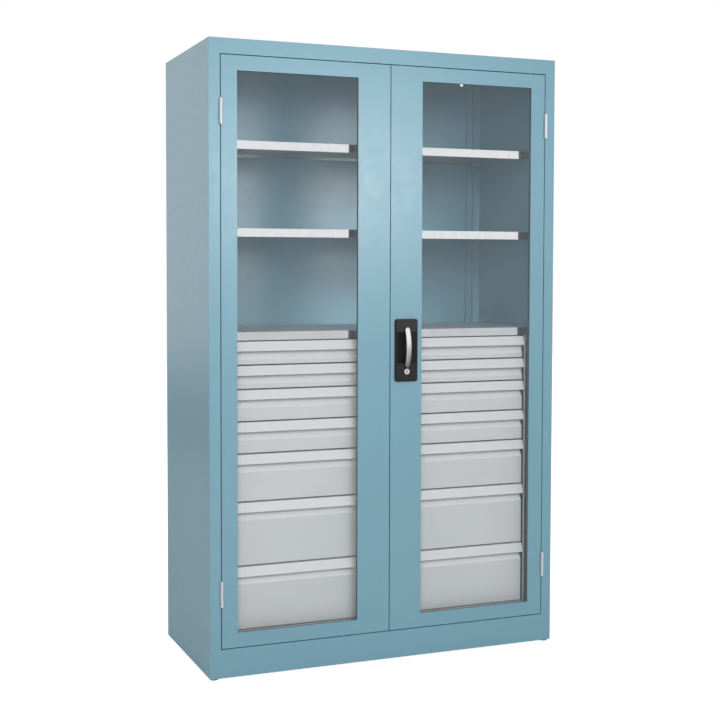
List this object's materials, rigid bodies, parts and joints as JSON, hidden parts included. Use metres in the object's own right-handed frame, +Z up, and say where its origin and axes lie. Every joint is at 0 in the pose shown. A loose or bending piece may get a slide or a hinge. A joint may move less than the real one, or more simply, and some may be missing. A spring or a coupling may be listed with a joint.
{
  "type": "heavy-duty cabinet",
  "caption": "Tall steel cabinet with windowed doors, galvanised shelves above columns of drawers on runners, and a bow-lever handle that works lock rods.",
  "frame": {"origin": "on the floor, in the middle of the outer box, which reaches from the lever's bow to the back panel", "axes": "+Z up, the doors face -Y, +X to the right of someone who faces the doors"},
  "size_m": [1.2, 0.5296, 1.95],
  "materials": {
    "body_paint": "fine-textured satin powder coat",
    "drawer_paint": "satin powder coat",
    "galvanised": "galvanised sheet",
    "hinge_steel": "zinc plated",
    "lever_metal": "satin chrome",
    "black_plastic": "grained",
    "glide_plastic": "matte",
    "seal_rubber": "matte",
    "window": "clear"
  },
  "bodies": {
    "cabinet": {"left_side_panel": "body_paint", "right_side_panel": "body_paint", "back_panel": "body_paint", "roof_panel": "body_paint", "floor_panel": "body_paint", "plinth_front": "body_paint", "levelling_feet": "glide_plastic", "block_side_walls": "drawer_paint", "centre_partition": "drawer_paint", "base_rails": "drawer_paint", "cover_shelf": "galvanised", "middle_shelf": "galvanised", "upper_shelf": "galvanised", "shelf_uprights": "body_paint", "shelf_brackets": "galvanised", "drawer_runners": "galvanised", "frame_hinge_knuckles": "hinge_steel"},
    "left_door": {"left_door_panel": "body_paint", "left_window_pane": "window", "left_window_seal": "seal_rubber", "left_door_knuckles": "hinge_steel"},
    "right_door": {"right_door_panel": "body_paint", "right_window_pane": "window", "right_window_seal": "seal_rubber", "right_door_knuckles": "hinge_steel", "handle_escutcheon": "black_plastic", "lock_gearbox": "galvanised", "rod_guides": "black_plastic"},
    "handle_lever": {"handle_lever": "lever_metal"},
    "lock_plug": {"lock_plug": "lever_metal"},
    "upper_lock_rod": {"upper_lock_rod": "galvanised"},
    "lower_lock_rod": {"lower_lock_rod": "galvanised"},
    "left_drawer_1": {"left_drawer_1_front": "drawer_paint", "left_drawer_1_tray": "drawer_paint"},
    "left_drawer_2": {"left_drawer_2_front": "drawer_paint", "left_drawer_2_tray": "drawer_paint"},
    "left_drawer_3": {"left_drawer_3_front": "drawer_paint", "left_drawer_3_tray": "drawer_paint"},
    "left_drawer_4": {"left_drawer_4_front": "drawer_paint", "left_drawer_4_tray": "drawer_paint"},
    "left_drawer_5": {"left_drawer_5_front": "drawer_paint", "left_drawer_5_tray": "drawer_paint"},
    "left_drawer_6": {"left_drawer_6_front": "drawer_paint", "left_drawer_6_tray": "drawer_paint"},
    "left_drawer_7": {"left_drawer_7_front": "drawer_paint", "left_drawer_7_tray": "drawer_paint"},
    "right_drawer_1": {"right_drawer_1_front": "drawer_paint", "right_drawer_1_tray": "drawer_paint"},
    "right_drawer_2": {"right_drawer_2_front": "drawer_paint", "right_drawer_2_tray": "drawer_paint"},
    "right_drawer_3": {"right_drawer_3_front": "drawer_paint", "right_drawer_3_tray": "drawer_paint"},
    "right_drawer_4": {"right_drawer_4_front": "drawer_paint", "right_drawer_4_tray": "drawer_paint"},
    "right_drawer_5": {"right_drawer_5_front": "drawer_paint", "right_drawer_5_tray": "drawer_paint"},
    "right_drawer_6": {"right_drawer_6_front": "drawer_paint", "right_drawer_6_tray": "drawer_paint"},
    "right_drawer_7": {"right_drawer_7_front": "drawer_paint", "right_drawer_7_tray": "drawer_paint"}
  },
  "joints": [
    {"name": "left_door_swing", "type": "hinge", "parent": "cabinet", "child": "left_door", "pos_m": [-0.5635, -0.24055, 0.265], "axis": [0, 0, -1], "range_deg": [0, 180]},
    {"name": "right_door_swing", "type": "hinge", "parent": "cabinet", "child": "right_door", "pos_m": [0.5635, -0.24055, 0.265], "axis": [0, 0, 1], "range_deg": [0, 180]},
    {"name": "handle_turn", "type": "hinge", "parent": "right_door", "child": "handle_lever", "pos_m": [0.0545, -0.24575, 1.0625], "axis": [0, -1, 0], "range_deg": [0, 90]},
    {"name": "lock_turn", "type": "hinge", "parent": "right_door", "child": "lock_plug", "pos_m": [0.0545, -0.24525, 0.93], "axis": [0, -1, 0], "range_deg": [0, 90]},
    {"name": "upper_rod_slide", "type": "slide", "parent": "right_door", "child": "upper_lock_rod", "axis": [0, 0, -1], "range_m": [0, 0.015]},
    {"name": "lower_rod_slide", "type": "slide", "parent": "right_door", "child": "lower_lock_rod", "axis": [0, 0, 1], "range_m": [0, 0.015]},
    {"name": "left_drawer_1_slide", "type": "slide", "parent": "cabinet", "child": "left_drawer_1", "axis": [0, -1, 0], "range_m": [0, 0.009]},
    {"name": "left_drawer_2_slide", "type": "slide", "parent": "cabinet", "child": "left_drawer_2", "axis": [0, -1, 0], "range_m": [0, 0.009]},
    {"name": "left_drawer_3_slide", "type": "slide", "parent": "cabinet", "child": "left_drawer_3", "axis": [0, -1, 0], "range_m": [0, 0.009]},
    {"name": "left_drawer_4_slide", "type": "slide", "parent": "cabinet", "child": "left_drawer_4", "axis": [0, -1, 0], "range_m": [0, 0.009]},
    {"name": "left_drawer_5_slide", "type": "slide", "parent": "cabinet", "child": "left_drawer_5", "axis": [0, -1, 0], "range_m": [0, 0.009]},
    {"name": "left_drawer_6_slide", "type": "slide", "parent": "cabinet", "child": "left_drawer_6", "axis": [0, -1, 0], "range_m": [0, 0.009]},
    {"name": "left_drawer_7_slide", "type": "slide", "parent": "cabinet", "child": "left_drawer_7", "axis": [0, -1, 0], "range_m": [0, 0.009]},
    {"name": "right_drawer_1_slide", "type": "slide", "parent": "cabinet", "child": "right_drawer_1", "axis": [0, -1, 0], "range_m": [0, 0.009]},
    {"name": "right_drawer_2_slide", "type": "slide", "parent": "cabinet", "child": "right_drawer_2", "axis": [0, -1, 0], "range_m": [0, 0.009]},
    {"name": "right_drawer_3_slide", "type": "slide", "parent": "cabinet", "child": "right_drawer_3", "axis": [0, -1, 0], "range_m": [0, 0.009]},
    {"name": "right_drawer_4_slide", "type": "slide", "parent": "cabinet", "child": "right_drawer_4", "axis": [0, -1, 0], "range_m": [0, 0.009]},
    {"name": "right_drawer_5_slide", "type": "slide", "parent": "cabinet", "child": "right_drawer_5", "axis": [0, -1, 0], "range_m": [0, 0.009]},
    {"name": "right_drawer_6_slide", "type": "slide", "parent": "cabinet", "child": "right_drawer_6", "axis": [0, -1, 0], "range_m": [0, 0.009]},
    {"name": "right_drawer_7_slide", "type": "slide", "parent": "cabinet", "child": "right_drawer_7", "axis": [0, -1, 0], "range_m": [0, 0.009]}
  ],
  "couplings": [
    {"joint": "upper_rod_slide", "follows": "handle_turn", "m_per_rad": 0.009549},
    {"joint": "lower_rod_slide", "follows": "handle_turn", "m_per_rad": 0.009549}
  ]
}
